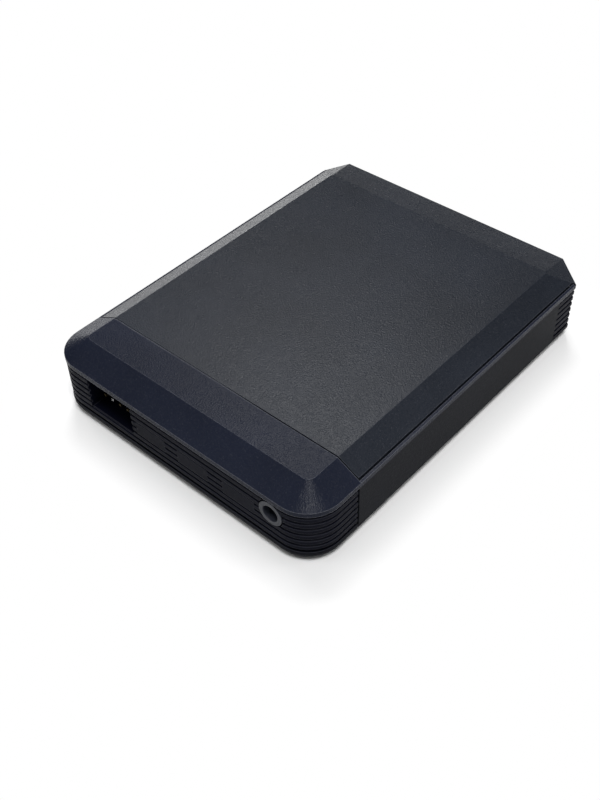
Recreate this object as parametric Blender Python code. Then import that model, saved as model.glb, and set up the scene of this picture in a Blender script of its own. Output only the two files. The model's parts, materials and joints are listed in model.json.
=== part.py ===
"""Logic analyzer: a low box with a chamfered top, a sliding cover, ribbed ends, a probe port and a jack.

Metres, +Z up. The origin is the centre of the footprint on the resting plane; the front faces -Y.
"""

import math

import bmesh
import bpy
from mathutils import Vector

# Overall sizes
WIDTH = 0.0800
DEPTH = 0.1050
HEIGHT = 0.0189

# Heights of the horizontal bands, from the resting plane
FOOT_DROP = 0.0005
BOTTOM_RIM_Z = 0.0033
RIM_Z = HEIGHT - 0.0032
BEAD_Z = RIM_Z - 0.0012

# Plan of the top
SIDE_RUN = 0.0063
FRONT_RUN = 0.0065
REAR_RUN = 0.0113
CORNER_RADIUS = 0.0086
CREASE_RADIUS = 0.0018
LEFT_MITRE_X = 0.0033
RIGHT_MITRE_X = 0.0079
MITRE_Y = 0.0070
MITRE_TIP = 0.0004
SEAM_BACK = 0.0153
CORNER_STEPS = 12

# Walls and clearances
GAP = 0.0003
WALL = 0.0018
SKIN = 0.0016
FLOOR = 0.0016
UNDER_RADIUS = 0.0022
BEAD_WIDTH = 0.0007
LEDGE_REACH = 0.0030
LEDGE_THICK = 0.0010
TAB_X = 0.15 * WIDTH
TAB_WIDTH = 0.175 * WIDTH
TAB_REACH = 0.0025
TAB_THICK = 0.0009

# Ribbed ends
RIB_COUNT = 6
RIB_PITCH = 0.00175
RIB_CREST = 0.0009
RIB_DEPTH = 0.0005
RIB_INSET = 0.0001
SIDE_WALL_START = 0.0146
REAR_RIBS = 0.0142

# Probe port and header
PORT_X = 0.0199 - WIDTH / 2
PORT_WIDTH = 0.0143
PORT_LOW_Z = 0.0056
PIN_PITCH = 0.00254
PIN_SIDE = 0.00064
PIN_COLUMNS = 5
PIN_TIP_BACK = 0.0028
HEADER_BACK = 0.0088
HEADER_BASE = 0.0025
HEADER_Z = 0.0098

# Bare pads between the port and the jack
PAD_CENTRES = (-0.0875 * WIDTH, 0.075 * WIDTH, 0.24375 * WIDTH)
PAD_WIDTH = 0.0090
PAD_LOW_Z = 0.0073
PAD_HIGH_Z = 0.0108

# Round jack
JACK_X = WIDTH / 2 - 0.0113
RING_RADIUS = 0.0031
JACK_Z = BEAD_Z - 0.0002 - RING_RADIUS
BORE_RADIUS = 0.00205
RING_LENGTH = 0.0030
JACK_BODY_WIDTH = 0.0070
JACK_BODY_LENGTH = 0.0120
LEAF_THICK = 0.0003

# Circuit board
BOARD_WIDTH = WIDTH - 0.0140
BOARD_REAR_SPACE = 0.0045
BOARD_THICK = 0.0016
BOARD_Z = 0.0058

# Rear USB socket
USB_WIDTH = 0.0090
USB_HEIGHT = 0.0032
USB_LENGTH = 0.0074
USB_WALL = 0.0003
USB_BORE_DEPTH = 0.0062

# Screws and feet
CASE_SCREW_X = WIDTH / 2 - 0.0065
CASE_SCREW_Y = DEPTH / 2 - 0.0180
BOARD_SCREW_X = WIDTH / 2 - 0.0130
BOARD_SCREW_Y = DEPTH / 2 - HEADER_BACK - 0.0097
BOSS_RADIUS = 0.0024
BOSS_TOP_Z = 0.0105
SCREW_RADIUS = 0.0009
SCREW_HEAD_RADIUS = 0.0018
SCREW_HEAD = 0.0010
SCREW_LENGTH = 0.0075
FOOT_X = WIDTH / 2 - 0.0110
FOOT_Y = DEPTH / 2 - 0.0115
FOOT_RADIUS = 0.0040
FOOT_SINK = 0.0006

DROP = HEIGHT - RIM_Z
FRONT_Y = -DEPTH / 2
REAR_Y = DEPTH / 2
SEAM_Y = FRONT_Y + SEAM_BACK
MITRE_START_Y = REAR_Y - MITRE_Y
WALL_FRONT_Y = FRONT_Y + SIDE_WALL_START
WALL_REAR_Y = REAR_Y - REAR_RIBS
UNDER_Z = FOOT_DROP
FLOOR_Z = UNDER_Z + FLOOR
PANEL_LOW_Z = BOTTOM_RIM_Z + GAP
PANEL_HIGH_Z = BEAD_Z - GAP
BOARD_TOP_Z = BOARD_Z + BOARD_THICK


def clear_scene():
    for item in list(bpy.data.objects):
        bpy.data.objects.remove(item, do_unlink=True)


clear_scene()
BODY = bpy.data.collections.new("logic_analyzer")
CUTTERS = bpy.data.collections.new("cutters")
bpy.context.scene.collection.children.link(BODY)
bpy.context.scene.collection.children.link(CUTTERS)
CUTTERS.hide_render = True


def make_material(name, colour, roughness, metallic=0.0):
    material = bpy.data.materials.new(name)
    material.use_nodes = True
    shader = material.node_tree.nodes["Principled BSDF"]
    shader.inputs["Base Color"].default_value = (*colour, 1.0)
    shader.inputs["Roughness"].default_value = roughness
    shader.inputs["Metallic"].default_value = metallic
    return material


CASE_PLASTIC = make_material("case_plastic", (0.016, 0.018, 0.026), 0.45)
COVER_PLASTIC = make_material("cover_plastic", (0.030, 0.033, 0.037), 0.50)
BOTTOM_PLASTIC = make_material("bottom_plastic", (0.014, 0.015, 0.020), 0.50)
BLACK_PLASTIC = make_material("black_plastic", (0.010, 0.010, 0.011), 0.40)
BOARD_GREEN = make_material("board_green", (0.012, 0.075, 0.030), 0.45)
CHIP_BLACK = make_material("chip_black", (0.018, 0.018, 0.020), 0.60)
GOLD = make_material("contact_gold", (0.80, 0.56, 0.20), 0.30, 1.0)
STEEL = make_material("steel", (0.62, 0.62, 0.64), 0.32, 1.0)
TIN = make_material("tin", (0.70, 0.70, 0.70), 0.35, 1.0)
RUBBER = make_material("rubber", (0.020, 0.020, 0.021), 0.85)


def add_mesh(name, shape, material):
    """An object from a bmesh, with outward normals, in the part's collection."""
    bmesh.ops.recalc_face_normals(shape, faces=shape.faces)
    mesh = bpy.data.meshes.new(name)
    shape.to_mesh(mesh)
    shape.free()
    item = bpy.data.objects.new(name, mesh)
    BODY.objects.link(item)
    mesh.materials.append(material)
    return item


def loft(name, loops, material):
    """A closed solid through plan loops of equal length, each a (points, z) pair, from low to high."""
    shape = bmesh.new()
    rings = [[shape.verts.new((x, y, z)) for x, y in points] for points, z in loops]
    count = len(rings[0])
    for low, high in zip(rings, rings[1:]):
        for i in range(count):
            j = (i + 1) % count
            shape.faces.new((low[i], low[j], high[j], high[i]))
    shape.faces.new(list(reversed(rings[0])))
    shape.faces.new(rings[-1])
    return add_mesh(name, shape, material)


def block(name, low, high, material):
    """A box from its low corner to its high corner, with its origin at its centre."""
    shape = bmesh.new()
    bmesh.ops.create_cube(shape, size=1.0)
    size = Vector(high) - Vector(low)
    bmesh.ops.scale(shape, vec=size, verts=shape.verts)
    item = add_mesh(name, shape, material)
    item.location = (Vector(high) + Vector(low)) / 2
    return item


def set_origin(item, point):
    """Puts an unrotated object's origin at a point and leaves its shape where it is."""
    shift = item.location - Vector(point)
    for vertex in item.data.vertices:
        vertex.co += shift
    item.location = point


def rod(name, radius, low, high, material, steps=24, axis="Z"):
    """A cylinder between two points that differ along one axis."""
    shape = bmesh.new()
    length = (Vector(high) - Vector(low)).length
    bmesh.ops.create_cone(
        shape, cap_ends=True, segments=steps, radius1=radius, radius2=radius, depth=length
    )
    item = add_mesh(name, shape, material)
    item.location = (Vector(high) + Vector(low)) / 2
    if axis == "Y":
        item.rotation_euler = (-math.pi / 2, 0.0, 0.0)
    return item


def helper(item):
    """Moves an object to the hidden collection, where it only cuts or joins."""
    BODY.objects.unlink(item)
    CUTTERS.objects.link(item)
    item.hide_render = True
    item.display_type = "WIRE"
    return item


def boolean(item, other, operation):
    helper(other)
    modifier = item.modifiers.new(f"{operation.lower()}_{other.name}", "BOOLEAN")
    modifier.operation = operation
    modifier.solver = "EXACT"
    modifier.object = other


def cut(item, other):
    boolean(item, other, "DIFFERENCE")


def join(item, other):
    boolean(item, other, "UNION")


def outline(side, front, rear, radius, right_cut, left_cut):
    """Plan loop: two rounded front corners, then two straight-cut rear corners.

    Each cut is an (x, y) pair: how far it takes from the rear edge and from the side edge.
    """
    left = -WIDTH / 2 + side
    right = WIDTH / 2 - side
    low = FRONT_Y + front
    high = REAR_Y - rear
    points = []
    for centre_x, start in ((left + radius, math.pi), (right - radius, 1.5 * math.pi)):
        for step in range(CORNER_STEPS + 1):
            angle = start + 0.5 * math.pi * step / CORNER_STEPS
            x = centre_x + radius * math.cos(angle)
            y = low + radius + radius * math.sin(angle)
            points.append((x, y))
    points.append((right, high - right_cut[1]))
    points.append((right - right_cut[0], high))
    points.append((left + left_cut[0], high))
    points.append((left, high - left_cut[1]))
    return points


def inset_outline(inset):
    """The case outline moved inwards by the same distance all round."""
    cuts = []
    for mitre_x in (RIGHT_MITRE_X, LEFT_MITRE_X):
        length = math.hypot(mitre_x, MITRE_Y)
        normal_x = MITRE_Y / length
        normal_y = mitre_x / length
        cut_x = mitre_x - inset + inset * (1 - normal_y) / normal_x
        cut_y = MITRE_Y - inset + inset * (1 - normal_x) / normal_y
        cuts.append((cut_x, cut_y))
    return outline(inset, inset, inset, CORNER_RADIUS - inset, *cuts)


def chamfered_outer(name, low_z, material):
    """The solid envelope of the top, from low_z up to the flat."""
    tip = (MITRE_TIP, MITRE_TIP)
    top = outline(SIDE_RUN, FRONT_RUN, REAR_RUN, CREASE_RADIUS, tip, tip)
    rim = inset_outline(0.0)
    return loft(name, [(rim, low_z), (rim, RIM_Z), (top, HEIGHT)], material)


def inner_run(run):
    """How far in the inner face of a chamfer meets the underside of the flat."""
    slant = SKIN * math.hypot(1.0, DROP / run)
    return run * (DROP - SKIN + slant) / DROP


def chamfered_inner(name, low_z, material):
    """The hollow under the top: one skin inside the envelope."""
    tip = (MITRE_TIP, MITRE_TIP)
    top = outline(
        inner_run(SIDE_RUN),
        inner_run(FRONT_RUN),
        inner_run(REAR_RUN),
        CREASE_RADIUS,
        tip,
        tip,
    )
    rim = inset_outline(WALL)
    shoulder = RIM_Z - WALL / 2
    return loft(name, [(rim, low_z), (rim, shoulder), (top, HEIGHT - SKIN)], material)


def swept(name, path, profile, material):
    """A band along an open plan path; the profile is a loop of (inset, z) corners."""
    shape = bmesh.new()
    count = len(path)
    rings = []
    for i, (x, y) in enumerate(path):
        here = Vector((x, y))
        before = Vector(path[max(i - 1, 0)])
        after = Vector(path[min(i + 1, count - 1)])
        first = (here - before).normalized() if i > 0 else (after - here).normalized()
        last = (after - here).normalized() if i < count - 1 else first
        inward_a = Vector((-first.y, first.x))
        inward_b = Vector((-last.y, last.x))
        middle = (inward_a + inward_b).normalized()
        reach = 1.0 / max(middle.dot(inward_a), 0.2)
        ring = []
        for inset, z in profile:
            point = here + middle * inset * reach
            ring.append(shape.verts.new((point.x, point.y, z)))
        rings.append(ring)
    size = len(profile)
    for low, high in zip(rings, rings[1:]):
        for i in range(size):
            j = (i + 1) % size
            shape.faces.new((low[i], low[j], high[j], high[i]))
    shape.faces.new(rings[0])
    shape.faces.new(list(reversed(rings[-1])))
    return add_mesh(name, shape, material)


def rib_profile():
    """Flat back, ribbed front: crests between grooves, and a plain strip at each end."""
    corners = []
    middle = (PANEL_LOW_Z + PANEL_HIGH_Z) / 2
    first = middle - RIB_PITCH * (RIB_COUNT - 1) / 2
    slope = (RIB_PITCH - RIB_CREST) / 4
    corners.append((RIB_DEPTH, PANEL_LOW_Z))
    for i in range(RIB_COUNT):
        z = first + i * RIB_PITCH
        corners.append((RIB_DEPTH, z - RIB_CREST / 2 - slope))
        corners.append((RIB_INSET, z - RIB_CREST / 2))
        corners.append((RIB_INSET, z + RIB_CREST / 2))
        corners.append((RIB_DEPTH, z + RIB_CREST / 2 + slope))
    corners.append((RIB_DEPTH, PANEL_HIGH_Z))
    corners.append((WALL, PANEL_HIGH_Z))
    corners.append((WALL, PANEL_LOW_Z))
    return corners


def front_path(end_y):
    """From the left side, round both front corners, to the right side."""
    points = inset_outline(0.0)[: 2 * (CORNER_STEPS + 1)]
    return [(-WIDTH / 2, end_y)] + points + [(WIDTH / 2, end_y)]


def rear_path(start_y):
    """From the right side, round the two cut rear corners, to the left side."""
    points = inset_outline(0.0)[2 * (CORNER_STEPS + 1) :]
    return [(WIDTH / 2, start_y)] + points + [(-WIDTH / 2, start_y)]


# Bottom shell: a tray with a rounded lower edge
def make_bottom():
    loops = []
    for step in range(7):
        angle = 0.5 * math.pi * step / 6
        inset = UNDER_RADIUS * (1 - math.sin(angle))
        z = UNDER_Z + UNDER_RADIUS * (1 - math.cos(angle))
        loops.append((inset_outline(inset), z))
    loops.append((inset_outline(0.0), BOTTOM_RIM_Z))
    shell = loft("bottom_shell", loops, BOTTOM_PLASTIC)
    hollow = inset_outline(WALL + GAP)
    cut(
        shell,
        loft("bottom_hollow", [(hollow, FLOOR_Z), (hollow, HEIGHT)], BOTTOM_PLASTIC),
    )
    for side in (-1, 1):
        near = WIDTH / 2 - WALL - GAP
        edges = sorted((side * near, side * WIDTH))
        cut(
            shell,
            block(
                f"side_wall_slot_{side + 2}",
                (edges[0], WALL_FRONT_Y - GAP, UNDER_Z + UNDER_RADIUS - GAP),
                (edges[1], WALL_REAR_Y + GAP, HEIGHT),
                BOTTOM_PLASTIC,
            ),
        )
        for end in (-1, 1):
            tag = f"{side + 2}{end + 2}"
            spot = (side * CASE_SCREW_X, end * CASE_SCREW_Y)
            join(
                shell,
                rod(
                    f"screw_seat_{tag}",
                    BOSS_RADIUS,
                    (*spot, UNDER_Z + GAP),
                    (*spot, FLOOR_Z + SCREW_HEAD + GAP),
                    BOTTOM_PLASTIC,
                ),
            )
            cut(
                shell,
                rod(
                    f"screw_hole_{tag}",
                    SCREW_RADIUS + GAP,
                    (*spot, -UNDER_Z),
                    (*spot, HEIGHT),
                    BOTTOM_PLASTIC,
                ),
            )
            cut(
                shell,
                rod(
                    f"screw_sink_{tag}",
                    SCREW_HEAD_RADIUS + GAP,
                    (*spot, -UNDER_Z),
                    (*spot, UNDER_Z + SCREW_HEAD + GAP),
                    BOTTOM_PLASTIC,
                ),
            )
            post = (side * BOARD_SCREW_X, end * BOARD_SCREW_Y)
            join(
                shell,
                rod(
                    f"board_post_{tag}",
                    BOSS_RADIUS,
                    (*post, UNDER_Z + GAP),
                    (*post, BOARD_Z - GAP),
                    BOTTOM_PLASTIC,
                ),
            )
            cut(
                shell,
                rod(
                    f"post_hole_{tag}",
                    SCREW_RADIUS + GAP,
                    (*post, FLOOR_Z + GAP),
                    (*post, HEIGHT),
                    BOTTOM_PLASTIC,
                ),
            )
            pad = (side * FOOT_X, end * FOOT_Y)
            cut(
                shell,
                rod(
                    f"foot_sink_{tag}",
                    FOOT_RADIUS + GAP,
                    (*pad, -UNDER_Z),
                    (*pad, UNDER_Z + FOOT_SINK + GAP),
                    BOTTOM_PLASTIC,
                    steps=32,
                ),
            )
    return shell


# Upper shell: front cap, rim bead, side walls with the ledges that carry the cover
def make_upper():
    shell = chamfered_outer("upper_shell", BEAD_Z, CASE_PLASTIC)
    cut(shell, chamfered_inner("cap_hollow", 0.0, CASE_PLASTIC))
    cut(
        shell,
        block(
            "cap_end",
            (-WIDTH, SEAM_Y - GAP / 2, 0.0),
            (WIDTH, WIDTH + DEPTH, 2 * HEIGHT),
            CASE_PLASTIC,
        ),
    )
    for side in (-1, 1):
        outer = side * WIDTH / 2
        wall = outer - side * WALL
        bead = outer - side * BEAD_WIDTH
        ledge = outer - side * LEDGE_REACH
        ledge_z = BEAD_Z - GAP
        joined_y = SEAM_Y - 0.006
        parts = (
            (outer, wall, WALL_FRONT_Y, WALL_REAR_Y, UNDER_Z + UNDER_RADIUS, ledge_z),
            (outer, bead, WALL_FRONT_Y, WALL_REAR_Y, ledge_z - GAP, RIM_Z),
            (wall, ledge, WALL_FRONT_Y, WALL_REAR_Y, ledge_z - LEDGE_THICK, ledge_z),
        )
        tail = (outer, bead, WALL_REAR_Y - 0.001, MITRE_START_Y - GAP, BEAD_Z, RIM_Z)
        for i, (x0, x1, y0, y1, z0, z1) in enumerate((*parts, tail)):
            low_x, high_x = sorted((x0, x1))
            join(
                shell,
                block(
                    f"side_{side + 2}{i}",
                    (low_x, y0, z0),
                    (high_x, y1, z1),
                    CASE_PLASTIC,
                ),
            )
        near = outer - side * (WALL + GAP)
        bridges = (
            (near - side * 0.0015, SEAM_Y - GAP, ledge_z - 0.0008, RIM_Z + 0.0003),
            (near - side * 0.0008, SEAM_Y + 0.003, ledge_z - 0.0009, ledge_z - 0.0001),
        )
        for i, (far, end_y, low_z, high_z) in enumerate(bridges):
            low_x, high_x = sorted((near - side * 0.00001 * i, far))
            join(
                shell,
                block(
                    f"bridge_{side + 2}{i}",
                    (low_x, joined_y + 0.0001 * i, low_z),
                    (high_x, end_y, high_z),
                    CASE_PLASTIC,
                ),
            )
        for end in (-1, 1):
            spot = (side * CASE_SCREW_X, end * CASE_SCREW_Y)
            low_z = FLOOR_Z + SCREW_HEAD + 2 * GAP
            join(
                shell,
                rod(
                    f"boss_{side + 2}{end + 2}",
                    BOSS_RADIUS,
                    (*spot, low_z),
                    (*spot, BOSS_TOP_Z),
                    CASE_PLASTIC,
                ),
            )
            web = sorted((spot[0] + side * 0.001, outer - side * WALL / 2))
            join(
                shell,
                block(
                    f"web_{side + 2}{end + 2}",
                    (web[0], spot[1] - 0.0006, low_z + 0.0001),
                    (web[1], spot[1] + 0.0006, BOSS_TOP_Z - 0.0002),
                    CASE_PLASTIC,
                ),
            )
            cut(
                shell,
                rod(
                    f"boss_hole_{side + 2}{end + 2}",
                    SCREW_RADIUS + GAP,
                    (*spot, 0.0),
                    (*spot, UNDER_Z + SCREW_HEAD + SCREW_LENGTH + 2 * GAP),
                    CASE_PLASTIC,
                ),
            )
    return shell


# Cover: the flat with its side and rear chamfers, sliding rearwards between the beads
def make_cover():
    cover = chamfered_outer("top_cover", BEAD_Z, COVER_PLASTIC)
    cut(cover, chamfered_inner("cover_hollow", 0.0, COVER_PLASTIC))
    cut(
        cover,
        block(
            "cover_front_cut",
            (-WIDTH, -WIDTH - DEPTH, 0.0),
            (WIDTH, SEAM_Y + GAP / 2, 2 * HEIGHT),
            COVER_PLASTIC,
        ),
    )
    for side in (-1, 1):
        edges = sorted((side * (WIDTH / 2 - BEAD_WIDTH - GAP), side * WIDTH))
        cut(
            cover,
            block(
                f"cover_side_cut_{side + 2}",
                (edges[0], -WIDTH - DEPTH, 0.0),
                (edges[1], MITRE_START_Y, 2 * HEIGHT),
                COVER_PLASTIC,
            ),
        )
        tab_high = HEIGHT - SKIN - GAP
        tab_x = sorted((side * TAB_X, side * (TAB_X + TAB_WIDTH)))
        join(
            cover,
            block(
                f"front_tab_{side + 2}",
                (tab_x[0], SEAM_Y - TAB_REACH, tab_high - TAB_THICK),
                (tab_x[1], SEAM_Y + TAB_REACH, tab_high),
                COVER_PLASTIC,
            ),
        )
        join(
            cover,
            block(
                f"tab_root_{side + 2}",
                (tab_x[0] + 0.0001, SEAM_Y + GAP, tab_high - TAB_THICK / 2),
                (tab_x[1] - 0.0001, SEAM_Y + TAB_REACH - 0.0001, HEIGHT - SKIN / 2),
                COVER_PLASTIC,
            ),
        )
    return cover


# Ribbed panels
def make_front_panel():
    panel = swept(
        "front_panel", front_path(WALL_FRONT_Y - GAP), rib_profile(), CASE_PLASTIC
    )
    for i, x in enumerate(PAD_CENTRES):
        join(
            panel,
            block(
                f"bare_pad_{i + 1}",
                (x - PAD_WIDTH / 2, FRONT_Y + RIB_INSET, PAD_LOW_Z),
                (x + PAD_WIDTH / 2, FRONT_Y + WALL / 2, PAD_HIGH_Z),
                CASE_PLASTIC,
            ),
        )
    sleeve_low = PORT_X - PORT_WIDTH / 2
    sleeve_high = PORT_X + PORT_WIDTH / 2
    join(
        panel,
        block(
            "port_sleeve",
            (sleeve_low - 0.001, FRONT_Y + RIB_DEPTH + 0.0001, PORT_LOW_Z - 0.001),
            (sleeve_high + 0.001, FRONT_Y + HEADER_BACK - GAP, PANEL_HIGH_Z),
            CASE_PLASTIC,
        ),
    )
    cut(
        panel,
        block(
            "port_opening",
            (sleeve_low, FRONT_Y - 0.002, PORT_LOW_Z),
            (sleeve_high, FRONT_Y + 0.02, HEIGHT),
            CASE_PLASTIC,
        ),
    )
    cut(
        panel,
        rod(
            "jack_opening",
            RING_RADIUS + GAP,
            (JACK_X, FRONT_Y - 0.002, JACK_Z),
            (JACK_X, FRONT_Y + 0.004, JACK_Z),
            CASE_PLASTIC,
            steps=40,
            axis="Y",
        ),
    )
    return panel


def make_rear_panel():
    panel = swept(
        "rear_panel", rear_path(WALL_REAR_Y + GAP), rib_profile(), CASE_PLASTIC
    )
    centre = BOARD_TOP_Z + GAP + USB_HEIGHT / 2
    cut(
        panel,
        block(
            "usb_opening",
            (-USB_WIDTH / 2 - GAP, REAR_Y - 0.006, centre - USB_HEIGHT / 2 - GAP),
            (USB_WIDTH / 2 + GAP, REAR_Y + 0.002, centre + USB_HEIGHT / 2 + GAP),
            CASE_PLASTIC,
        ),
    )
    return panel


# Circuit board and its parts
def make_board():
    half_x = BOARD_WIDTH / 2
    board = block(
        "main_board",
        (-half_x, FRONT_Y + HEADER_BACK, BOARD_Z),
        (half_x, REAR_Y - BOARD_REAR_SPACE, BOARD_TOP_Z),
        BOARD_GREEN,
    )
    for side in (-1, 1):
        for end in (-1, 1):
            tag = f"{side + 2}{end + 2}"
            spot = (side * BOARD_SCREW_X, end * BOARD_SCREW_Y)
            cut(
                board,
                rod(
                    f"board_hole_{tag}",
                    SCREW_RADIUS + GAP,
                    (*spot, 0.0),
                    (*spot, HEIGHT),
                    BOARD_GREEN,
                ),
            )
            edges = sorted((side * (CASE_SCREW_X - BOSS_RADIUS - 2 * GAP), side * WIDTH))
            cut(
                board,
                block(
                    f"board_notch_{tag}",
                    (edges[0], end * CASE_SCREW_Y - 0.003, 0.0),
                    (edges[1], end * CASE_SCREW_Y + 0.003, HEIGHT),
                    BOARD_GREEN,
                ),
            )
    return board


def board_part(name, share_x, share_y, size, material):
    """A chip or block on the board, centred at these shares of the width and of the depth."""
    x = share_x * WIDTH
    y = share_y * DEPTH
    wide, deep, tall = size
    low_z = BOARD_TOP_Z + GAP
    return block(
        name,
        (x - wide / 2, y - deep / 2, low_z),
        (x + wide / 2, y + deep / 2, low_z + tall),
        material,
    )


def make_header():
    """Moulded base behind the port, and two rows of square pins with their board tails."""
    rows = (HEADER_Z - PIN_PITCH / 2, HEADER_Z + PIN_PITCH / 2)
    base_y = FRONT_Y + HEADER_BACK
    half = PIN_COLUMNS * PIN_PITCH / 2
    base = block(
        "probe_header_base",
        (PORT_X - half, base_y, BOARD_TOP_Z + GAP),
        (PORT_X + half, base_y + HEADER_BASE, rows[1] + PIN_PITCH / 2),
        BLACK_PLASTIC,
    )
    number = 0
    for row, z in enumerate(rows):
        bend_y = base_y + HEADER_BASE + 0.0012 + row * PIN_PITCH
        for column in range(PIN_COLUMNS):
            number += 1
            x = PORT_X + (column - (PIN_COLUMNS - 1) / 2) * PIN_PITCH
            half_pin = PIN_SIDE / 2
            near = half_pin + GAP
            cut(
                base,
                block(
                    f"pin_slot_{number}",
                    (x - near, base_y - 0.001, z - near),
                    (x + near, base_y + HEADER_BASE + 0.001, z + near),
                    BLACK_PLASTIC,
                ),
            )
            pin = block(
                f"probe_pin_{number}",
                (x - half_pin, FRONT_Y + PIN_TIP_BACK, z - half_pin),
                (x + half_pin, bend_y + PIN_SIDE, z + half_pin),
                GOLD,
            )
            join(
                pin,
                block(
                    f"pin_tail_{number}",
                    (x - half_pin, bend_y, BOARD_Z - 0.001),
                    (x + half_pin, bend_y + PIN_SIDE - 0.00001, z + half_pin - 0.00001),
                    GOLD,
                ),
            )
    return base


def cut_board_for_pins(board):
    for row in range(2):
        y = FRONT_Y + HEADER_BACK + HEADER_BASE + 0.0012 + row * PIN_PITCH + PIN_SIDE / 2
        for column in range(PIN_COLUMNS):
            x = PORT_X + (column - (PIN_COLUMNS - 1) / 2) * PIN_PITCH
            cut(
                board,
                rod(
                    f"tail_hole_{row}{column}",
                    PIN_SIDE / 2 * math.sqrt(2) + GAP,
                    (x, y, 0.0),
                    (x, y, HEIGHT),
                    BOARD_GREEN,
                    steps=12,
                ),
            )


def make_jack():
    """Ring in the panel, moulded body behind it, a sleeve contact and a sprung tip leaf."""
    ring = rod(
        "jack_ring",
        RING_RADIUS,
        (JACK_X, FRONT_Y, JACK_Z),
        (JACK_X, FRONT_Y + RING_LENGTH, JACK_Z),
        CASE_PLASTIC,
        steps=40,
        axis="Y",
    )
    cut(
        ring,
        rod(
            "jack_ring_bore",
            BORE_RADIUS,
            (JACK_X, FRONT_Y - 0.002, JACK_Z),
            (JACK_X, FRONT_Y + 0.006, JACK_Z),
            BLACK_PLASTIC,
            steps=40,
            axis="Y",
        ),
    )
    front = FRONT_Y + RING_LENGTH + GAP
    half = JACK_BODY_WIDTH / 2
    body = block(
        "jack_body",
        (JACK_X - half, front, BOARD_TOP_Z + GAP),
        (JACK_X + half, front + JACK_BODY_LENGTH, JACK_Z + BORE_RADIUS + 0.0007),
        BLACK_PLASTIC,
    )
    cut(
        body,
        rod(
            "jack_body_bore",
            BORE_RADIUS,
            (JACK_X, front - 0.001, JACK_Z),
            (JACK_X, front + JACK_BODY_LENGTH - 0.001, JACK_Z),
            BLACK_PLASTIC,
            steps=40,
            axis="Y",
        ),
    )
    leaf_y = front + JACK_BODY_LENGTH - 0.0060
    cut(
        body,
        block(
            "leaf_slot",
            (JACK_X - half + 0.0006, leaf_y - GAP, BOARD_TOP_Z + GAP + 0.0004),
            (JACK_X + GAP, leaf_y + 0.0045 + GAP, HEIGHT),
            BLACK_PLASTIC,
        ),
    )
    cut(
        body,
        block(
            "sleeve_slot",
            (JACK_X + 0.0006, front + 0.0010, BOARD_TOP_Z + GAP + 0.0004),
            (JACK_X + half - 0.0006, front + 0.0035, HEIGHT),
            BLACK_PLASTIC,
        ),
    )
    return ring, body, front, leaf_y


def make_jack_contacts(front, leaf_y):
    low = BOARD_TOP_Z + GAP + 0.0007
    half = JACK_BODY_WIDTH / 2
    leaf_x = JACK_X - BORE_RADIUS - 0.0002
    leaf = block(
        "jack_tip_leaf",
        (leaf_x - LEAF_THICK, leaf_y, low),
        (leaf_x, leaf_y + 0.0042, JACK_Z + 0.0012),
        GOLD,
    )
    set_origin(leaf, (leaf_x - LEAF_THICK / 2, leaf_y + 0.0021, low))
    sleeve = block(
        "jack_sleeve_contact",
        (JACK_X + half - 0.0014, front + 0.0013, low),
        (JACK_X + half - 0.0011, front + 0.0032, JACK_Z + 0.0012),
        GOLD,
    )
    return leaf, sleeve


def make_usb():
    centre = BOARD_TOP_Z + GAP + USB_HEIGHT / 2
    half_w = USB_WIDTH / 2
    half_h = USB_HEIGHT / 2
    front = REAR_Y - USB_LENGTH
    shell = block(
        "usb_shell",
        (-half_w, front, centre - half_h),
        (half_w, REAR_Y - GAP, centre + half_h),
        STEEL,
    )
    cut(
        shell,
        block(
            "usb_bore",
            (-half_w + USB_WALL, REAR_Y - USB_BORE_DEPTH, centre - half_h + USB_WALL),
            (half_w - USB_WALL, REAR_Y + 0.001, centre + half_h - USB_WALL),
            STEEL,
        ),
    )
    tongue = block(
        "usb_tongue",
        (-half_w * 0.72, REAR_Y - USB_BORE_DEPTH + GAP, centre - 0.00035),
        (half_w * 0.72, REAR_Y - 0.0012, centre + 0.00035),
        BLACK_PLASTIC,
    )
    return shell, tongue


def make_screw(name, spot, head_low, head_high, tip_z, material):
    """A pan head with a cross recess and a shank, on a vertical axis."""
    up = tip_z > head_low
    x, y = spot
    head = rod(name, SCREW_HEAD_RADIUS, (x, y, head_low), (x, y, head_high), material)
    ends = sorted((head_high - 0.0001 if up else head_low + 0.0001, tip_z))
    join(
        head,
        rod(f"{name}_shank", SCREW_RADIUS, (x, y, ends[0]), (x, y, ends[1]), material),
    )
    open_z = head_low if up else head_high
    depth = 0.0005
    for i, (wide, deep) in enumerate(((0.0004, 0.0020), (0.0020, 0.0004))):
        cut(
            head,
            block(
                f"{name}_slot_{i}",
                (x - wide / 2, y - deep / 2, open_z - depth),
                (x + wide / 2, y + deep / 2, open_z + depth),
                material,
            ),
        )
    return head


make_bottom()
make_upper()
make_cover()
make_front_panel()
make_rear_panel()
BOARD = make_board()
make_header()
cut_board_for_pins(BOARD)
_, _, JACK_FRONT, LEAF_Y = make_jack()
make_jack_contacts(JACK_FRONT, LEAF_Y)
make_usb()

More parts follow.
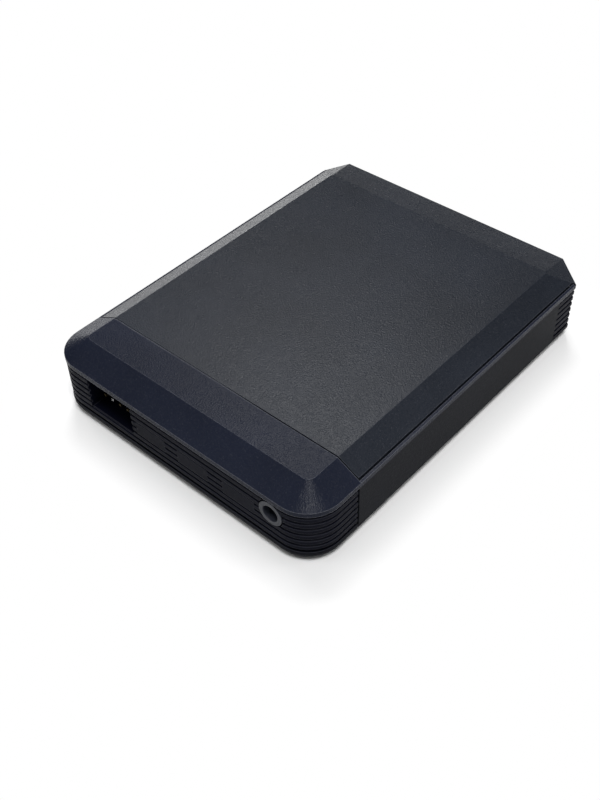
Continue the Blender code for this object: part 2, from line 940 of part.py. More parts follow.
# Places on the board are shares of the width and of the depth
board_part("logic_array", 0.0, -0.038, (0.0140, 0.0140, 0.0014), CHIP_BLACK)
board_part("usb_controller", 0.025, 0.229, (0.0080, 0.0080, 0.0010), CHIP_BLACK)
board_part("sample_memory", 0.225, 0.038, (0.0080, 0.0130, 0.0011), CHIP_BLACK)
board_part("input_buffer_1", -0.344, -0.200, (0.0044, 0.0065, 0.0011), CHIP_BLACK)
board_part("input_buffer_2", -0.225, -0.200, (0.0044, 0.0065, 0.0011), CHIP_BLACK)
board_part("voltage_regulator", 0.250, 0.248, (0.0065, 0.0035, 0.0016), CHIP_BLACK)
board_part("crystal", -0.163, 0.248, (0.0050, 0.0032, 0.0012), TIN)
for index, share in enumerate((-0.215, -0.130)):
    cap_x = share * WIDTH
    cap_y = 0.333 * DEPTH
    low_z = BOARD_TOP_Z + GAP
    rod(
        f"bulk_capacitor_{index + 1}",
        0.0025,
        (cap_x, cap_y, low_z),
        (cap_x, cap_y, low_z + 0.0054),
        TIN,
    )

COUNT = 0
for side in (-1, 1):
    for end in (-1, 1):
        COUNT += 1
        base_z = UNDER_Z + GAP
        make_screw(
            f"case_screw_{COUNT}",
            (side * CASE_SCREW_X, end * CASE_SCREW_Y),
            base_z,
            base_z + SCREW_HEAD - GAP,
            base_z + SCREW_HEAD + SCREW_LENGTH,
            STEEL,
        )
        head_z = BOARD_TOP_Z + GAP
        make_screw(
            f"board_screw_{COUNT}",
            (side * BOARD_SCREW_X, end * BOARD_SCREW_Y),
            head_z,
            head_z + SCREW_HEAD,
            FLOOR_Z + 3 * GAP,
            STEEL,
        )
        rod(
            f"rubber_foot_{COUNT}",
            FOOT_RADIUS,
            (side * FOOT_X, end * FOOT_Y, 0.0),
            (side * FOOT_X, end * FOOT_Y, UNDER_Z + FOOT_SINK),
            RUBBER,
            steps=32,
        )
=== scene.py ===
"""Looks of the logic analyzer: plastics, board and metal finishes, small board parts, studio and camera."""

import json
import math
import random

import bmesh
import bpy
from mathutils import Matrix, Vector


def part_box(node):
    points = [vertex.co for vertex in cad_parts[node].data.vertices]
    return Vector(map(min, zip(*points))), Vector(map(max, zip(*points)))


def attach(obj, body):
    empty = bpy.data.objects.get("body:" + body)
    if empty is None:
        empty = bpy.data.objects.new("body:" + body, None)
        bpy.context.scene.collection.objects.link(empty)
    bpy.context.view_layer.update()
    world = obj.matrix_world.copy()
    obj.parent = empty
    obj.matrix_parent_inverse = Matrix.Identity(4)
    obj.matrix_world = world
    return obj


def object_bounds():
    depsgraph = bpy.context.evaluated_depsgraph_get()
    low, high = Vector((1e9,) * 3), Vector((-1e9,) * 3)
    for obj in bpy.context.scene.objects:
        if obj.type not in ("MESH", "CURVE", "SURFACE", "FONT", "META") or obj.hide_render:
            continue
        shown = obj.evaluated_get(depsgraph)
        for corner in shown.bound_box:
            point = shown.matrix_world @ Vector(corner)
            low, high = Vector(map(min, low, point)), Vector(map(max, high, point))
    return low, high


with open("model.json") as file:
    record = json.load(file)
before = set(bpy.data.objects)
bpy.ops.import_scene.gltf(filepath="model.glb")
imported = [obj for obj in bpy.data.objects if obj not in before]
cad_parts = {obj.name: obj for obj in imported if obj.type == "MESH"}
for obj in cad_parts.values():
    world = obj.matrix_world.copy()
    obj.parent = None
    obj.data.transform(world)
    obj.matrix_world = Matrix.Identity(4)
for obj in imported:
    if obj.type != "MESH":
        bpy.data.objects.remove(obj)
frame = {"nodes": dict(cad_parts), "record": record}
NODES = frame["nodes"]
CAD_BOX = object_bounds()
MM = 0.001


# ---------------------------------------------------------------- node helpers
def new_material(name):
    material = bpy.data.materials.new(name)
    material.use_nodes = True
    tree = material.node_tree
    return material, tree, tree.nodes["Principled BSDF"]


def add(tree, kind, **settings):
    node = tree.nodes.new(kind)
    for key, value in settings.items():
        setattr(node, key, value)
    return node


def link(tree, source, target):
    tree.links.new(source, target)


def object_coords(tree):
    return add(tree, "ShaderNodeTexCoord").outputs["Object"]


def noise(tree, coords, scale, detail=2.0):
    node = add(tree, "ShaderNodeTexNoise")
    node.inputs["Scale"].default_value = scale
    node.inputs["Detail"].default_value = detail
    link(tree, coords, node.inputs["Vector"])
    return node.outputs["Fac"]


def cells(tree, coords, scale):
    """Distance to the nearest of many scattered points."""
    node = add(tree, "ShaderNodeTexVoronoi")
    node.inputs["Scale"].default_value = scale
    link(tree, coords, node.inputs["Vector"])
    return node.outputs["Distance"]


def span(tree, value, low, high, from_low, from_high):
    """A value from from_low to from_high made to run from low to high, and held at its ends."""
    node = add(tree, "ShaderNodeMapRange")
    node.inputs["From Min"].default_value = from_low
    node.inputs["From Max"].default_value = from_high
    node.inputs["To Min"].default_value = low
    node.inputs["To Max"].default_value = high
    link(tree, value, node.inputs["Value"])
    return node.outputs["Result"]


def math_node(tree, operation, a, b):
    node = add(tree, "ShaderNodeMath", operation=operation)
    for socket, value in zip(node.inputs, (a, b)):
        if isinstance(value, (int, float)):
            socket.default_value = value
        else:
            link(tree, value, socket)
    return node.outputs["Value"]


def blend_colour(tree, factor, dark, light):
    """dark and light are each a colour or the output of another node."""
    node = add(tree, "ShaderNodeMix", data_type="RGBA")
    link(tree, factor, node.inputs["Factor"])
    colour_a, colour_b, result = node.inputs[6], node.inputs[7], node.outputs[2]
    for socket, value in ((colour_a, dark), (colour_b, light)):
        if isinstance(value, tuple):
            socket.default_value = (*value, 1.0)
        else:
            link(tree, value, socket)
    return result


def soft_edges(tree, radius):
    """Normals rounded near an edge, as a moulded corner has."""
    node = add(tree, "ShaderNodeBevel", samples=8)
    node.inputs["Radius"].default_value = radius
    return node.outputs["Normal"]


def bump(tree, height, strength, distance, normal):
    node = add(tree, "ShaderNodeBump")
    node.inputs["Strength"].default_value = strength
    node.inputs["Distance"].default_value = distance
    link(tree, height, node.inputs["Height"])
    link(tree, normal, node.inputs["Normal"])
    return node.outputs["Normal"]


# ---------------------------------------------------------------- materials
EDGE_RADIUS = 0.22 * MM
GRAIN_DEPTH = 0.05 * MM
FLECK_COLOUR = (0.16, 0.17, 0.19)
DUST_COLOUR = (0.30, 0.31, 0.33)
# Light colour on rounded edges: rubbed wear, and a painted highlight where the edges catch the lamps.
EDGE_WEAR_AND_HIGHLIGHT_COLOUR = (0.105, 0.110, 0.130)


def drifting(tree, coords, scale, dark, light):
    """A colour that wanders slowly between two shades."""
    drift = noise(tree, coords, scale, 3.0)
    return blend_colour(tree, span(tree, drift, 0.0, 1.0, 0.3, 0.7), dark, light)


def edge_wear_and_highlight_mask(tree, rounded, wear_and_highlight):
    """How far the rounded normal leaves the face's own: there an edge gets rubbed wear and a painted
    highlight.
    """
    facing = add(tree, "ShaderNodeVectorMath", operation="DOT_PRODUCT")
    link(tree, rounded, facing.inputs[0])
    link(tree, add(tree, "ShaderNodeNewGeometry").outputs["Normal"], facing.inputs[1])
    return span(tree, facing.outputs["Value"], wear_and_highlight, 0.0, 0.972, 0.996)


def plastic(
    name, colour, roughness, grain, specular=0.3, edge=EDGE_RADIUS, dust=0.0, flecks=0.0, wear_and_highlight=0.0
):
    """Moulded plastic: slow colour drift, spark-eroded grain, uneven gloss, round edges lightened by rubbed
    wear and a painted highlight.
    """
    material, tree, shader = new_material(name)
    coords = object_coords(tree)
    dark = tuple(c * 0.84 for c in colour)
    light = tuple(c * 1.16 for c in colour)
    base = drifting(tree, coords, 45.0, dark, light)
    fine = noise(tree, coords, 3600.0)
    if flecks:
        bright = span(tree, fine, 0.0, flecks, 0.60, 0.72)
        base = blend_colour(tree, bright, base, FLECK_COLOUR)
    if dust:
        place = cells(tree, coords, 90.0)
        mask = span(tree, place, dust, 0.0, 0.010, 0.022)
        base = blend_colour(tree, mask, base, DUST_COLOUR)
    rounded = soft_edges(tree, edge)
    # Rounded edges lightened: rubbed wear and a painted highlight.
    if wear_and_highlight:
        base = blend_colour(tree, edge_wear_and_highlight_mask(tree, rounded, wear_and_highlight), base, EDGE_WEAR_AND_HIGHLIGHT_COLOUR)
    link(tree, base, shader.inputs["Base Color"])
    gloss = span(
        tree, noise(tree, coords, 1400.0), roughness - 0.03, roughness + 0.05, 0.3, 0.7
    )
    link(tree, gloss, shader.inputs["Roughness"])
    shader.inputs["Specular IOR Level"].default_value = specular
    pits = cells(tree, coords, 2300.0)
    height = math_node(tree, "ADD", math_node(tree, "MULTIPLY", pits, 0.6), fine)
    link(tree, bump(tree, height, grain, GRAIN_DEPTH, rounded), shader.inputs["Normal"])
    return material


def metal(name, colour, roughness):
    """Plated or drawn metal: slightly uneven in colour and gloss, with a fine surface."""
    material, tree, shader = new_material(name)
    coords = object_coords(tree)
    dark = tuple(c * 0.82 for c in colour)
    link(tree, drifting(tree, coords, 500.0, dark, colour), shader.inputs["Base Color"])
    shader.inputs["Metallic"].default_value = 1.0
    fine = noise(tree, coords, 3000.0)
    gloss = span(tree, fine, roughness - 0.08, roughness + 0.12, 0.3, 0.7)
    link(tree, gloss, shader.inputs["Roughness"])
    surface = bump(tree, fine, 0.12, 0.03 * MM, soft_edges(tree, 0.08 * MM))
    link(tree, surface, shader.inputs["Normal"])
    return material


def board_finish():
    """Green solder mask over copper tracks and pours."""
    material, tree, shader = new_material("board_mask")
    coords = object_coords(tree)
    bend = noise(tree, coords, 90.0, 1.0)
    brick = add(tree, "ShaderNodeTexBrick")
    brick.inputs["Scale"].default_value = 900.0
    brick.inputs["Mortar Size"].default_value = 0.03
    brick.inputs["Row Height"].default_value = 0.9
    brick.inputs["Brick Width"].default_value = 3.6
    link(tree, coords, brick.inputs["Vector"])
    tracks = brick.outputs["Fac"]
    pours = span(tree, bend, 0.0, 1.0, 0.5, 0.52)
    copper = math_node(tree, "MAXIMUM", math_node(tree, "MULTIPLY", tracks, 0.7), pours)
    base = blend_colour(tree, copper, (0.008, 0.055, 0.022), (0.014, 0.105, 0.040))
    vias = cells(tree, coords, 380.0)
    rings = math_node(tree, "MULTIPLY", span(tree, vias, 1.0, 0.0, 0.10, 0.14), 0.6)
    base = blend_colour(tree, rings, base, (0.45, 0.36, 0.16))
    link(tree, base, shader.inputs["Base Color"])
    fine = noise(tree, coords, 2000.0)
    link(tree, span(tree, fine, 0.40, 0.52, 0.3, 0.7), shader.inputs["Roughness"])
    shader.inputs["Specular IOR Level"].default_value = 0.2
    surface = bump(tree, copper, 0.35, 0.03 * MM, soft_edges(tree, 0.1 * MM))
    link(tree, surface, shader.inputs["Normal"])
    return material


# Colour, roughness, grain and specular level.
CASE = plastic(
    "case_satin_black", (0.0088, 0.0110, 0.0205), 0.25, 1.00, 0.05, flecks=0.10, wear_and_highlight=0.8
)
# Side walls: a duller grain, and a darker colour as painted shade.
SIDE_GRAIN_AND_SHADE = plastic("side_grained_shaded_black", (0.0055, 0.0062, 0.0090), 0.45, 0.60, 0.03, flecks=0.12)
COVER = plastic(
    "cover_grained_black",
    (0.0105, 0.0130, 0.0190),
    0.29,
    0.90,
    0.105,
    dust=0.5,
    flecks=0.16,
    wear_and_highlight=0.3,
)
BOTTOM = plastic("bottom_satin_black", (0.0028, 0.0032, 0.0062), 0.50, 0.40, 0.03, wear_and_highlight=0.25)
RIBBED = plastic("ribbed_satin_black", (0.0027, 0.0032, 0.0080), 0.42, 0.35, 0.03, wear_and_highlight=0.25)
RING = plastic("ring_satin_grey", (0.0200, 0.0225, 0.0310), 0.40, 0.25, 0.25)
MOULDED = plastic("moulded_black", (0.0070, 0.0070, 0.0080), 0.40, 0.20, 0.20)
CHIP = plastic("chip_epoxy", (0.0180, 0.0180, 0.0200), 0.58, 0.35, 0.40, edge=0.08 * MM)
RUBBER = plastic("foot_rubber", (0.0140, 0.0140, 0.0150), 0.80, 0.50, 0.20)
MARK = plastic("pale_mark", (0.0600, 0.0600, 0.0620), 0.60, 0.20)
PRINT = plastic("white_print", (0.6200, 0.6200, 0.5800), 0.70, 0.20)
CERAMIC = plastic("tan_ceramic", (0.3000, 0.1900, 0.1000), 0.45, 0.20)
GOLD = metal("gold_plate", (0.83, 0.60, 0.25), 0.28)
# Darkened gold: painted shade of the pins deep inside the port.
SHADED_GOLD = metal("shaded_gold_plate", (0.06, 0.045, 0.02), 0.50)
STEEL = metal("bright_steel", (0.60, 0.60, 0.62), 0.30)
TIN = metal("drawn_tin", (0.72, 0.72, 0.73), 0.30)
BOARD = board_finish()

FINISH = {
    "case_plastic": CASE,
    "cover_plastic": COVER,
    "bottom_plastic": BOTTOM,
    "black_plastic": MOULDED,
    "board_green": BOARD,
    "chip_black": CHIP,
    "contact_gold": GOLD,
    "steel": STEEL,
    "tin": TIN,
    "rubber": RUBBER,
}
SLOTS = {part["node"]: part["material_slot"] for part in frame["record"]["subparts"]}
PROBE_PINS = [f"probe_pin_{number}" for number in range(1, 11)]
SPECIAL = {"front_panel": RIBBED, "rear_panel": RIBBED, "jack_ring": RING}
# All probe pins but one get the darkened gold as painted shade.
SPECIAL.update({pin: SHADED_GOLD for pin in PROBE_PINS})
SPECIAL["probe_pin_2"] = TIN  # painted glint: a bright metal on the one pin that catches the light
SIDE_WALL_TOP = 14.6 * MM
SMOOTH_UNDER = math.radians(18)
ROUNDED = ("upper_shell", "top_cover", "bottom_shell", "front_panel", "rear_panel", "jack_ring")


def finish_node(name, item):
    material = SPECIAL.get(name, FINISH[SLOTS[name]])
    item.data.materials.clear()
    item.data.materials.append(material)
    smooth = name in ROUNDED or "screw" in name or name.startswith(("bulk", "rubber"))
    item.data.polygons.foreach_set("use_smooth", [smooth] * len(item.data.polygons))
    item.data.set_sharp_from_angle(angle=SMOOTH_UNDER)


def finish_side_walls(item):
    """The walls below the chamfers have a coarser, duller grain than the top, and a darker colour that is
    painted shade.
    """
    item.data.materials.append(SIDE_GRAIN_AND_SHADE)
    for face in item.data.polygons:
        if face.center.z < SIDE_WALL_TOP:
            face.material_index = 1


for node_name, node in NODES.items():
    finish_node(node_name, node)
finish_side_walls(NODES["upper_shell"])


# ---------------------------------------------------------------- small pieces
BOARD_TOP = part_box("main_board")[1][2]
CHIPS = ("logic_array", "usb_controller", "sample_memory", "input_buffer_1", "input_buffer_2")
CAPACITORS = ("bulk_capacitor_1", "bulk_capacitor_2")


def new_piece(name, mesh_tool, material, body="base", rounding=0.0):
    mesh = bpy.data.meshes.new(name)
    bmesh.ops.recalc_face_normals(mesh_tool, faces=mesh_tool.faces)
    mesh_tool.to_mesh(mesh)
    mesh_tool.free()
    mesh.materials.append(material)
    item = bpy.data.objects.new(name, mesh)
    bpy.context.scene.collection.objects.link(item)
    if rounding:
        edge = item.modifiers.new("rounding", "BEVEL")
        edge.width = rounding
        edge.segments = 2
    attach(item, body)
    return item


def add_box(tool, low, high):
    middle = [(a + b) / 2 for a, b in zip(low, high)]
    size = [b - a for a, b in zip(low, high)]
    place = Matrix.Translation(middle) @ Matrix.Diagonal((*size, 1.0))
    bmesh.ops.create_cube(tool, size=1.0, matrix=place)


def add_disc(tool, centre, radius, top_radius, height, steps=20):
    place = Matrix.Translation((centre[0], centre[1], centre[2] + height / 2))
    bmesh.ops.create_cone(
        tool,
        cap_ends=True,
        segments=steps,
        radius1=radius,
        radius2=top_radius,
        depth=height,
        matrix=place,
    )


def lead_places(node, pitch, across):
    """(x, y, outward x, outward y) of each lead round a chip; across means its sides at -X and +X."""
    low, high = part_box(node)
    if across:
        axis, sides = 1, ((low[0], -1, 0), (high[0], 1, 0))
    else:
        axis, sides = 0, ((low[1], 0, -1), (high[1], 0, 1))
    bare_ends = 1.2 * MM
    count = int((high[axis] - low[axis] - bare_ends) / pitch)
    middle = (low[axis] + high[axis]) / 2
    places = []
    for edge, out_x, out_y in sides:
        for i in range(count):
            along = middle + (i - (count - 1) / 2) * pitch
            spot = (edge, along) if across else (along, edge)
            places.append((*spot, out_x, out_y))
    return places


LEAD_ROWS = (  # chip, pitch, and whether the leads are on its -X and +X sides
    ("logic_array", 0.80 * MM, True),
    ("logic_array", 0.80 * MM, False),
    ("sample_memory", 0.80 * MM, True),
    ("input_buffer_1", 0.65 * MM, True),
    ("input_buffer_2", 0.65 * MM, True),
    ("usb_controller", 0.65 * MM, True),
    ("usb_controller", 0.65 * MM, False),
    ("voltage_regulator", 2.30 * MM, False),
)
LEAD_HALF_WIDTH = 0.13 * MM
LEAD_STEPS = (  # shoulder, leg and foot: start and end outwards, low and high above the board
    (-0.05 * MM, 0.35 * MM, 0.55 * MM, 0.70 * MM),
    (0.28 * MM, 0.42 * MM, 0.05 * MM, 0.68 * MM),
    (0.36 * MM, 0.95 * MM, 0.03 * MM, 0.17 * MM),
)


def make_leads():
    """Gull-wing leads: a shoulder out of the moulding, and a foot on the board."""
    tool = bmesh.new()
    places = [place for row in LEAD_ROWS for place in lead_places(*row)]
    for x, y, out_x, out_y in places:
        for start, end, low_z, high_z in LEAD_STEPS:
            if out_x:
                xs = sorted((x + out_x * start, x + out_x * end))
                ys = (y - LEAD_HALF_WIDTH, y + LEAD_HALF_WIDTH)
            else:
                xs = (x - LEAD_HALF_WIDTH, x + LEAD_HALF_WIDTH)
                ys = sorted((y + out_y * start, y + out_y * end))
            add_box(tool, (xs[0], ys[0], BOARD_TOP + low_z), (xs[1], ys[1], BOARD_TOP + high_z))
    new_piece("chip_leads", tool, TIN)


def make_chip_marks():
    """A moulded dimple by the first lead of each chip."""
    tool = bmesh.new()
    for node in CHIPS:
        low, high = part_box(node)
        spot = (low[0] + 0.9 * MM, low[1] + 0.9 * MM, high[2] - 0.02 * MM)
        add_disc(tool, spot, 0.35 * MM, 0.30 * MM, 0.05 * MM)
    new_piece("chip_first_lead_marks", tool, MARK)


def make_outlines():
    """Printed outlines round the chips, with no lettering."""
    tool = bmesh.new()
    wide, reach = 0.15 * MM, 1.25 * MM
    for node in (*CHIPS, "voltage_regulator", "crystal"):
        low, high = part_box(node)
        x0, x1, y0, y1 = low[0] - reach, high[0] + reach, low[1] - reach, high[1] + reach
        for a, b in (
            ((x0, y0), (x1, y0 + wide)),
            ((x0, y1 - wide), (x1, y1)),
            ((x0, y0), (x0 + wide, y1)),
            ((x1 - wide, y0), (x1, y1)),
        ):
            add_box(tool, (*a, BOARD_TOP + 0.01 * MM), (*b, BOARD_TOP + 0.04 * MM))
    new_piece("board_outlines", tool, PRINT)


PASSIVES, PASSIVE_TRIES, PASSIVE_SEED = 64, 1500, 4
PASSIVE_HALF_LONG, PASSIVE_HALF_WIDE, PASSIVE_HIGH = 0.8 * MM, 0.4 * MM, 0.50 * MM
PASSIVE_ROOM = 1.5 * MM
BODY_SHARE, END_SHARE = 0.9, 0.72


def to_half_mm(length):
    return round(length / MM * 2) * MM / 2


def free_spots():
    """(x, y, half length in x, half length in y, is it ceramic) of each part, clear of the rest."""
    rng = random.Random(PASSIVE_SEED)
    low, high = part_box("main_board")
    taken = []
    for name in NODES:
        if name not in ("main_board", "top_cover", "bottom_shell", "upper_shell"):
            first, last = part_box(name)
            taken.append((first[0], first[1], last[0], last[1]))
    spots = []
    for _ in range(PASSIVE_TRIES):
        if len(spots) == PASSIVES:
            break
        x = to_half_mm(rng.uniform(low[0] + 5 * MM, high[0] - 5 * MM))
        y = to_half_mm(rng.uniform(low[1] + 8 * MM, high[1] - 5 * MM))
        half_x, half_y = PASSIVE_HALF_LONG, PASSIVE_HALF_WIDE
        if rng.random() >= 0.5:
            half_x, half_y = half_y, half_x
        if any(
            a - PASSIVE_ROOM < x + half_x
            and x - half_x < c + PASSIVE_ROOM
            and b - PASSIVE_ROOM < y + half_y
            and y - half_y < d + PASSIVE_ROOM
            for a, b, c, d in taken
        ):
            continue
        taken.append((x - half_x, y - half_y, x + half_x, y + half_y))
        spots.append((x, y, half_x, half_y, rng.random() < 0.5))
    return spots


def make_passives():
    """Small resistors and capacitors in the free places of the board, with tinned ends."""
    ceramic, dark, ends = bmesh.new(), bmesh.new(), bmesh.new()
    top = BOARD_TOP + PASSIVE_HIGH
    for x, y, half_x, half_y, is_ceramic in free_spots():
        add_box(
            ceramic if is_ceramic else dark,
            (x - half_x * BODY_SHARE, y - half_y * BODY_SHARE, BOARD_TOP + 0.05 * MM),
            (x + half_x * BODY_SHARE, y + half_y * BODY_SHARE, top),
        )
        for side in (-1, 1):
            if half_x > half_y:
                xs = sorted((x + side * half_x, x + side * half_x * END_SHARE))
                ys = (y - half_y, y + half_y)
            else:
                xs = (x - half_x, x + half_x)
                ys = sorted((y + side * half_y, y + side * half_y * END_SHARE))
            add_box(
                ends, (xs[0], ys[0], BOARD_TOP + 0.02 * MM), (xs[1], ys[1], top + 0.03 * MM)
            )
    new_piece("ceramic_capacitors", ceramic, CERAMIC, rounding=0.05 * MM)
    new_piece("chip_resistors", dark, CHIP, rounding=0.03 * MM)
    new_piece("passive_ends", ends, TIN, rounding=0.06 * MM)


def make_solder():
    """Cones of solder round the header tails, and pads under the soldered cans."""
    tool = bmesh.new()
    for pin in PROBE_PINS:
        low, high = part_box(pin)
        spot = ((low[0] + high[0]) / 2, high[1] - 0.32 * MM, BOARD_TOP + 0.01 * MM)
        add_disc(tool, spot, 0.95 * MM, 0.40 * MM, 0.55 * MM)
    for node in CAPACITORS:
        low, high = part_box(node)
        middle = (low[1] + high[1]) / 2
        for x in (low[0] - 0.4 * MM, high[0] - 1.2 * MM):
            add_box(
                tool,
                (x, middle - 0.6 * MM, BOARD_TOP + 0.02 * MM),
                (x + 1.6 * MM, middle + 0.6 * MM, BOARD_TOP + 0.25 * MM),
            )
    new_piece("solder_joints", tool, TIN, rounding=0.08 * MM)


def make_capacitor_tops():
    """The dark polarity mark on each can, and its black moulded seat."""
    marks, seats = bmesh.new(), bmesh.new()
    for node in CAPACITORS:
        low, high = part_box(node)
        x, y = (low[0] + high[0]) / 2, (low[1] + high[1]) / 2
        add_box(
            marks,
            (x - 1.9 * MM, y - 1.1 * MM, high[2] - 0.02 * MM),
            (x - 0.9 * MM, y + 1.1 * MM, high[2] + 0.03 * MM),
        )
        add_box(
            seats,
            (low[0] - 0.15 * MM, low[1] - 0.15 * MM, BOARD_TOP + 0.06 * MM),
            (high[0] + 0.15 * MM, high[1] + 0.15 * MM, BOARD_TOP + 0.70 * MM),
        )
    new_piece("capacitor_marks", marks, MARK)
    new_piece("capacitor_seats", seats, MOULDED, rounding=0.2 * MM)


def make_usb_contacts():
    """Five gold contacts under the tongue of the socket."""
    tool = bmesh.new()
    low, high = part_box("usb_tongue")
    for place in (-2, -1, 0, 1, 2):
        x = place * 0.9 * MM
        add_box(
            tool,
            (x - 0.18 * MM, low[1] + 0.3 * MM, low[2] - 0.04 * MM),
            (x + 0.18 * MM, high[1] - 0.2 * MM, low[2] + 0.02 * MM),
        )
    new_piece("usb_contacts", tool, GOLD)


SEAM_Y = CAD_BOX[0][1] + 15.3 * MM
LIP_HALF_WIDTH, LIP_DEPTH = 0.10 * MM, 1.2 * MM
LIP_STATIONS = (  # x, and how far the lip lies under the top there
    (-33.4 * MM, 0.06 * MM),
    (2.0 * MM, 0.06 * MM),
    (12.0 * MM, 0.22 * MM),
    (24.0 * MM, 0.80 * MM),
)


def make_seam_lip():
    """A thin lip on the end of the fixed top: it closes the seam at the left, and sinks rightwards."""
    top = CAD_BOX[1][2]
    front, back = SEAM_Y - LIP_HALF_WIDTH, SEAM_Y + LIP_HALF_WIDTH
    tool = bmesh.new()
    rows = []
    for x, sunk in LIP_STATIONS:
        foot, crest = top - LIP_DEPTH, top - sunk
        outline = ((front, foot), (back, foot), (back, crest), (front, crest))
        rows.append([tool.verts.new((x, y, z)) for y, z in outline])
    for first, second in zip(rows, rows[1:]):
        for i in range(4):
            k = (i + 1) % 4
            tool.faces.new((first[i], first[k], second[k], second[i]))
    tool.faces.new(rows[0])
    tool.faces.new(list(reversed(rows[-1])))
    new_piece("seam_lip", tool, COVER)


make_leads()
make_chip_marks()
make_outlines()
make_passives()
make_solder()
make_capacitor_tops()
make_usb_contacts()
make_seam_lip()


# ---------------------------------------------------------------- studio
FLOOR_HALF_SIZE = 6.0
FLOOR_GREY = (0.88, 0.88, 0.88, 1.0)
SHADOW_REACH = 13.5 * MM
LIGHTS_AIM = Vector((0.0, 0.0, 0.01))


def background_rays(tree):
    """1 for the rays that show the background: straight to the camera, mirrored, or through glass."""
    path = add(tree, "ShaderNodeLightPath")
    mirrored = math_node(
        tree, "MAXIMUM", path.outputs["Is Glossy Ray"], path.outputs["Is Transmission Ray"]
    )
    return math_node(tree, "MAXIMUM", path.outputs["Is Camera Ray"], mirrored)


def beyond_footprint(tree):
    """How far a point of the floor lies outside the object's own rectangle."""
    beyond = object_coords(tree)
    footprint = (CAD_BOX[1][0], CAD_BOX[1][1], 0.0)
    for operation, against in (("ABSOLUTE", None), ("SUBTRACT", footprint), ("MAXIMUM", (0, 0, 0))):
        step = add(tree, "ShaderNodeVectorMath", operation=operation)
        link(tree, beyond, step.inputs[0])
        if against:
            step.inputs[1].default_value = against
        beyond = step.outputs["Vector"]
    away = add(tree, "ShaderNodeVectorMath", operation="LENGTH")
    link(tree, beyond, away.inputs[0])
    return away.outputs["Value"]


def make_floor():
    """Pale paper: shaded beside the object, and turning to plain white away from it under a painted white
    glow that cuts the shadow short.
    """
    mesh = bpy.data.meshes.new("floor")
    reach = FLOOR_HALF_SIZE
    corners = [(-reach, -reach, 0), (reach, -reach, 0), (reach, reach, 0), (-reach, reach, 0)]
    mesh.from_pydata(corners, [], [(0, 1, 2, 3)])
    floor = bpy.data.objects.new("floor", mesh)
    bpy.context.scene.collection.objects.link(floor)
    material, tree, shader = new_material("pale_paper")
    shader.inputs["Base Color"].default_value = FLOOR_GREY
    shader.inputs["Roughness"].default_value = 0.95
    shader.inputs["Specular IOR Level"].default_value = 0.0
    # Painted light: a white glow, seen by camera and mirrored rays, grows from nothing at the object's edge
    # to full at SHADOW_REACH and hides the shadow beyond.
    painted_white_lift = span(tree, beyond_footprint(tree), 0.0, 1.0, 0.0, SHADOW_REACH)
    white = add(tree, "ShaderNodeEmission")
    mixed = add(tree, "ShaderNodeMixShader")
    link(tree, math_node(tree, "MULTIPLY", painted_white_lift, background_rays(tree)), mixed.inputs[0])
    link(tree, shader.outputs[0], mixed.inputs[1])
    link(tree, white.outputs[0], mixed.inputs[2])
    link(tree, mixed.outputs[0], tree.nodes["Material Output"].inputs["Surface"])
    mesh.materials.append(material)


def make_world():
    """White to the camera. It lights the box as a soft tent does, dimmer towards the horizon."""
    world = bpy.data.worlds.new("studio")
    bpy.context.scene.world = world
    world.use_nodes = True
    tree = world.node_tree
    shade = tree.nodes["Background"]
    split = add(tree, "ShaderNodeSeparateXYZ")
    link(tree, add(tree, "ShaderNodeTexCoord").outputs["Generated"], split.inputs[0])
    tent = span(tree, split.outputs["Z"], 0.07, 0.34, 0.35, 0.85)
    path = add(tree, "ShaderNodeLightPath")
    strength = add(tree, "ShaderNodeMix", data_type="FLOAT")
    strength.inputs[3].default_value = 1.0
    link(tree, path.outputs["Is Camera Ray"], strength.inputs[0])
    link(tree, tent, strength.inputs[2])
    link(tree, strength.outputs[0], shade.inputs["Strength"])
    shade.inputs["Color"].default_value = (1.0, 1.0, 1.0, 1.0)


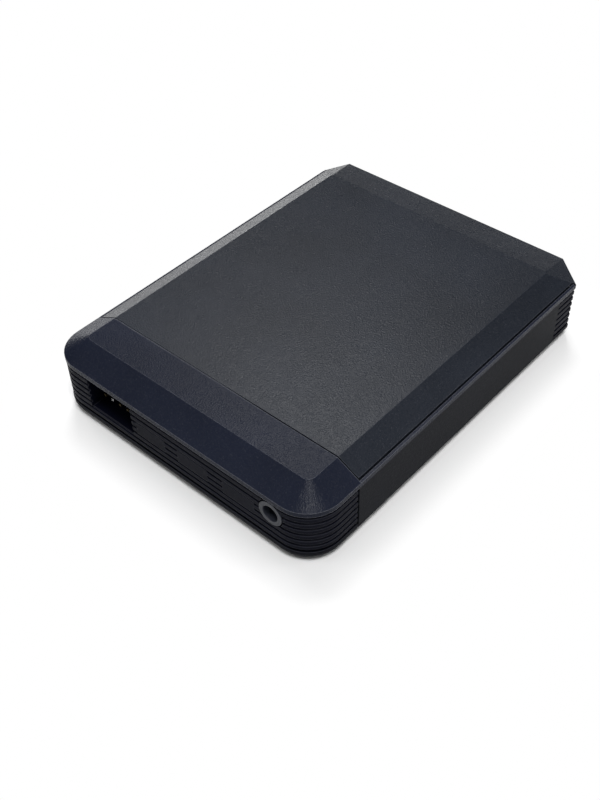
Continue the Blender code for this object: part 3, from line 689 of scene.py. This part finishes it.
def panel(name, toward, distance, wide, tall, radiance):
    """A soft light of an even radiance, in a direction from the middle of the box."""
    lamp = bpy.data.lights.new(name, "AREA")
    lamp.energy = math.pi * wide * tall * radiance
    lamp.shape = "RECTANGLE"
    lamp.size = wide
    lamp.size_y = tall
    item = bpy.data.objects.new(name, lamp)
    item.location = Vector(toward).normalized() * distance
    item.visible_camera = False
    item.rotation_mode = "QUATERNION"
    item.rotation_quaternion = (LIGHTS_AIM - item.location).to_track_quat("-Z", "Y")
    bpy.context.scene.collection.objects.link(item)


make_floor()
make_world()
# Direction, distance, width, height and radiance.
panel("back_sky", (-0.39, 0.42, 0.82), 1.10, 0.36, 0.36, 14.5)
panel("overhead", (0.26, -0.21, 0.94), 1.20, 0.34, 0.34, 24.5)
panel("front_fill", (-0.48, -0.53, 0.70), 1.00, 0.25, 0.25, 4.0)
panel("right_fill", (0.54, 0.52, 0.66), 1.00, 0.25, 0.25, 4.5)
panel("left_low", (-0.85, 0.50, 0.07), 0.80, 0.50, 0.10, 8.0)
panel("left_edge", (-0.58, 0.08, 0.81), 1.00, 0.12, 0.12, 16.0)
panel("right_low", (0.84, 0.50, 0.20), 0.90, 0.30, 0.14, 6.0)


# ---------------------------------------------------------------- camera
CAMERA_PLACE = (0.12350, -0.14659, 0.17501)
CAMERA_LENS = 46.96
AZIMUTH, ELEVATION, ROLL = 0.7392, 0.7796, -0.0276


def make_camera():
    """Seen from the front right, 42 degrees round and 45 degrees up, level but for a small roll."""
    data = bpy.data.cameras.new("camera")
    data.sensor_width = 36.0
    data.lens = CAMERA_LENS
    data.clip_start = 0.01
    data.clip_end = 50.0
    camera = bpy.data.objects.new("camera", data)
    bpy.context.scene.collection.objects.link(camera)
    back = Vector(
        (
            math.sin(AZIMUTH) * math.cos(ELEVATION),
            -math.cos(AZIMUTH) * math.cos(ELEVATION),
            math.sin(ELEVATION),
        )
    )
    right = (-back).cross(Vector((0, 0, 1))).normalized()
    up = right.cross(-back)
    right_rolled = right * math.cos(ROLL) + up * math.sin(ROLL)
    up_rolled = -right * math.sin(ROLL) + up * math.cos(ROLL)
    turn = Matrix((right_rolled, up_rolled, back)).transposed()
    camera.matrix_world = Matrix.Translation(CAMERA_PLACE) @ turn.to_4x4()
    bpy.context.scene.camera = camera


make_camera()
bpy.context.scene.view_settings.view_transform = "Standard"

bpy.context.view_layer.update()
